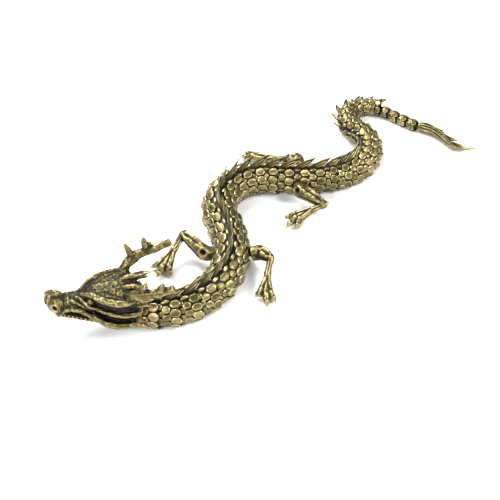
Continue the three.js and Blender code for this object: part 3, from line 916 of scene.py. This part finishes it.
def makeLeg(plan, name, ringIndex, side, elbow, wrist, toes, socketReach):
    ring = places[ringIndex]
    centre = Vector((*chainPlan["layoutCentre"], 0))
    along = Vector((math.cos(ring["heading"]), math.sin(ring["heading"]), 0))
    out = Vector((-along.y, along.x, 0)) * side
    pivot = Vector((ring["x"], ring["y"], 0)) + along * plan["pegPlace"] * ring["length"]
    height = upward(plan["rootHeight"])
    radius = ring["radius"]
    elbow = Vector(elbow) - centre
    wrist = Vector(wrist) - centre
    root = pivot + out * (radius + 0.2) + height
    shoulder = pivot + out * (radius + plan["shoulderReach"]) + upward(plan["shoulderHeight"])
    bm = newShape()
    peg = [pivot + out * 0.84 * radius + height, pivot + out * (radius + 3) + height]
    addBar(bm, peg, [plan["pegRadius"]] * 2, sides=12)
    upper = [root, shoulder, (shoulder + elbow) / 2 + upward(0.3), elbow]
    addBar(bm, upper, plan["thighRadii"], sides=16, steps=6)
    spur = elbow + (elbow - wrist).normalized() * plan["spurLength"] + upward(0.4)
    hand = elbow.lerp(wrist, 0.6)
    addBar(bm, [spur, elbow, elbow.lerp(wrist, 0.3), hand], plan["shinRadii"], sides=16, steps=6)
    toeLines = []
    for x, y in toes:
        tip = Vector((x, y, plan["toeTip"])) - centre
        line = [hand]
        for share, rise in plan["toeBends"]:
            line.append(wrist.lerp(tip, share))
            line[-1].z = rise
        toeLines.append(line)
        addBar(bm, [*line, tip], plan["toeRadii"], sides=12, steps=6)
    clay = Clay(fuse(bm, plan["voxel"]))
    clay.smooth(3)
    for _, knuckle, joint, _ in toeLines:
        clay.dimple(knuckle + upward(1.3), 1.0, 0.3)
        clay.dimple(joint + upward(0.9), 0.6, -0.3)
    for first, second in zip(toeLines, toeLines[1:]):
        start = hand + upward(1.6)
        end = (first[1] + second[1]) / 2 + upward(0.8)
        clay.stroke([start, (start + end) / 2 + upward(0.3), end], *plan["toeGroove"])
    hole = pivot + out * (radius + socketReach) - along * plan["socketForward"] + upward(plan["socketHeight"])
    for dimple in plan["socket"]:
        clay.dimple(hole, *dimple)
    muscle = (shoulder + elbow) / 2
    across = (elbow - shoulder).cross(upward(1)).normalized() * (-side)
    for rise, offset, width, depth in plan["muscles"]:
        lift = upward(rise) + across * offset
        line = [shoulder + lift, muscle + lift, elbow + lift * 0.6]
        clay.stroke(line, width, depth)
        # Cut grooves are also darkened with painted shade.
        if depth < 0:
            clay.shade(line, *plan["muscleShade"])
    shin = (wrist - elbow).cross(upward(1)).normalized()
    for offset in plan["shinOffsets"]:
        lift = shin * offset + upward(1.7 - 0.7 * abs(offset))
        line = [elbow.lerp(wrist, 0.12) + lift, elbow.lerp(wrist, 0.35) + lift, hand + lift]
        clay.stroke(line, *plan["shinGroove"])
    clay.lumps(*plan["lumps"])
    clay.apply()
    clay.smooth(1)
    clay.points[:, 2] = np.maximum(clay.points[:, 2], 0.0)
    return addPiece(clay.finish(clay.wear(*plan["wear"])), name, [name])


for leg in legPlan["legs"]:
    makeLeg(legPlan, *leg)
print("legs made")

tailPlan = {
    "stemRadius": 1.1,
    "stemReach": 2.2,
    "gap": 1.0,
    "linkSides": 24,
    "voxel": 0.22,
    "spine": [(1, 0.4, 0), (4, 1.6, 0.3), (9, 2.3, 0.3), (15, 1.0, 0.1), (20, -0.8, -0.2), (24, -1.3, -0.5),
              (27, -0.1, -0.7), (29.5, 2.1, -0.8), (32.5, 4.9, -0.9)],
    "spineRadii": [2.4, 2.8, 2.6, 2.1, 1.7, 1.3, 1.0, 0.7, 0.45],
    "strands": [
        ([(7, 3.0, 0.5), (11.5, 4.4, 0.2), (14.6, 6.0, -0.2)], [1.6, 1.0, 0.25]),
        ([(14, 2.0, 0.2), (19, 2.4, 0), (22.8, 4.0, -0.4)], [1.4, 1.0, 0.35]),
        ([(21.5, 0, -0.2), (25, 1.3, -0.4), (27.6, 3.4, -0.7)], [1.1, 0.8, 0.3]),
    ],
    "grooves": [
        [(2, 2.2, 2.3), (8, 3.6, 2.2), (14, 2.4, 2.0), (20, 0.3, 1.5), (25, -0.2, 0.7)],
        [(2, 0.8, 2.7), (8, 2.2, 2.9), (14, 1.0, 2.3), (20, -0.9, 1.6), (25, -1.2, 0.7)],
        [(2, -0.6, 2.4), (8, 0.8, 2.6), (14, -0.2, 2.1), (19, -1.8, 1.5), (24, -2.4, 0.6)],
        [(1.4, -1.8, 1.2), (7, -0.2, 1.2), (12, -0.6, 1.2), (17, -2.0, 0.8), (22, -3.0, 0.2)],
    ],
    "linkScale": {"from": 0.08, "to": 0.60, "frontTop": 0.86, "rearTop": 1.10, "width": 0.98},
    "linkRearScale": {"from": 0.46, "to": 1.02, "frontTop": 1.12, "rearTop": 0.96, "width": 0.98},
    "linkScales": 6,
    # The barrel's outline: (share of the length, millimetres added to it, share of the radius, wear).
    "linkBarrel": [(0, 0.6, 0.62, 0), (0, 0.9, 0.74, 0.1), (0.5, 0, 0.84, 0.15), (1, -0.3, 0.80, 0.1),
                   (1, 0, 0.70, 0.1)],
    "socketPlay": 0.45,
    "socketDepth": 1.6,
    "grooveCut": (0.4, -0.7),
    # Painted shade along the grooves: (half width, amount).
    "grooveShade": (0.5, 0.2),
    "wear": (0.36, 0.15, 0.12),
}


def makeLink(place, name, plan):
    length, radius = place["length"], place["radius"]
    stem = plan["stemRadius"]
    socket = stem + plan["socketPlay"]
    front = plan["gap"] - plan["stemReach"]
    barrel = []
    for share, more, out, wearing in plan["linkBarrel"]:
        barrel.append((share * length + more, out * radius, wearing))
    inside = length - plan["socketDepth"]
    rows = [(front, 0, 0), (front, stem, 0), (barrel[0][0], stem, 0), *barrel,
            (length, socket, 0), (inside, socket, 0), (inside, 0, 0)]
    bm = newShape()
    addTurned(bm, rows, plan["linkSides"])
    bmesh.ops.remove_doubles(bm, verts=bm.verts, dist=1e-4)
    bm = repacked(bm)
    step = 2 * math.pi / plan["linkScales"]
    for k in range(plan["linkScales"]):
        for scale, turn in ((plan["linkScale"], k), (plan["linkRearScale"], k + 0.5)):
            addScale(bm, bigTemplate, place, turn * step, scale, scale["width"] * step / 2)
    for v in bm.verts:
        v.co.z = max(v.co.z, -chainPlan["bellyDrop"] * radius)
    bm.transform(placeMatrix(place))
    return finishPiece(bm, name, [name])


linkNumber = 0
for place in places:
    if not place["isRing"]:
        linkNumber += 1
        makeLink(place, f"tail_link_{linkNumber:02d}", tailPlan)


def makeTuft(plan):
    bm = newShape()
    gap, reach, stem = plan["gap"], plan["stemReach"], plan["stemRadius"]
    addBar(bm, [(gap - reach, 0, 0), (2, 0, 0)], [stem, stem], sides=12)
    addBar(bm, plan["spine"], plan["spineRadii"], sides=16, flatness=0.95, steps=6)
    for points, radii in plan["strands"]:
        addBar(bm, points, radii, sides=12, steps=6)
    clay = Clay(fuse(bm, plan["voxel"]))
    clay.smooth(2)
    for groove in plan["grooves"]:
        clay.stroke(groove, *plan["grooveCut"])
        # Each groove is carved and darkened with painted shade.
        clay.shade(groove, *plan["grooveShade"])
    clay.apply()
    clay.smooth(1)
    clay.points[:, 2] = np.maximum(clay.points[:, 2], -chainEnd["height"])
    mesh = clay.finish(clay.wear(*plan["wear"]))
    mesh.transform(placeMatrix(chainEnd))
    return addPiece(mesh, "tail_tuft", ["tail_tuft"])


makeTuft(tailPlan)
print("tail made")


# Camera and light at the photo's viewing angle.
cameraPlan = {
    "elevation": 43.0,
    "distance": 550.0,
    "mmPerPixel": 0.457,
    "frameSide": 500,
    "sensorWidth": 36,
}


def addCamera(plan):
    camera = bpy.data.cameras.new("camera")
    camera.sensor_width = plan["sensorWidth"]
    camera.lens = plan["sensorWidth"] * plan["distance"] / plan["mmPerPixel"] / plan["frameSide"]
    camera.clip_start = 0.01
    camera.clip_end = 10
    holder = bpy.data.objects.new("camera", camera)
    bpy.context.scene.collection.objects.link(holder)
    tilt = math.radians(plan["elevation"])
    centre = chainPlan["layoutCentre"]
    target = Vector((-centre[0] * mm, -centre[1] * mm, 0))
    back = Vector((0, -math.cos(tilt), math.sin(tilt))) * plan["distance"] * mm
    holder.matrix_world = Matrix.Translation(target + back) @ Matrix.Rotation(math.pi / 2 - tilt, 4, "X")
    bpy.context.scene.camera = holder


addCamera(cameraPlan)
bpy.context.scene.view_settings.view_transform = "Standard"

lightPlan = {
    "world": (0.95, 0.96, 1.0),
    "worldStrength": 0.49,
    "areas": [
        ("key", (-0.30, 0.30, 0.60), 0.34, 8.8),
        ("fill", (0.45, -0.20, 0.50), 0.30, 4.6),
        ("front", (-0.35, -0.55, 0.40), 0.30, 4.0),
    ],
}


def addLights(plan):
    world = bpy.data.worlds.new("studio")
    world.use_nodes = True
    background = world.node_tree.nodes["Background"]
    background.inputs["Color"].default_value = (*plan["world"], 1.0)
    background.inputs["Strength"].default_value = plan["worldStrength"]
    bpy.context.scene.world = world
    for name, spot, size, power in plan["areas"]:
        light = bpy.data.lights.new(name, "AREA")
        light.size = size
        light.energy = power
        holder = bpy.data.objects.new(name, light)
        bpy.context.scene.collection.objects.link(holder)
        aim = Vector(spot).to_track_quat("Z", "Y").to_matrix().to_4x4()
        holder.matrix_world = Matrix.Translation(spot) @ aim


addLights(lightPlan)


floorPlan = {"halfSide": 3.0, "height": -0.0002, "grey": 0.9, "roughness": 0.8}


def addFloor(plan):
    bm = bmesh.new()
    bmesh.ops.create_grid(bm, x_segments=1, y_segments=1, size=plan["halfSide"])
    mesh = bpy.data.meshes.new("floor")
    bm.to_mesh(mesh)
    bm.free()
    floor = bpy.data.objects.new("floor", mesh)
    bpy.context.scene.collection.objects.link(floor)
    floor.location.z = plan["height"]
    shader = Shader("paleFloor")
    shader.feed(shader.principled.inputs["Base Color"], (*[plan["grey"]] * 3, 1.0))
    shader.feed(shader.principled.inputs["Roughness"], plan["roughness"])
    mesh.materials.append(shader.material)


addFloor(floorPlan)
print("camera, light and floor made")
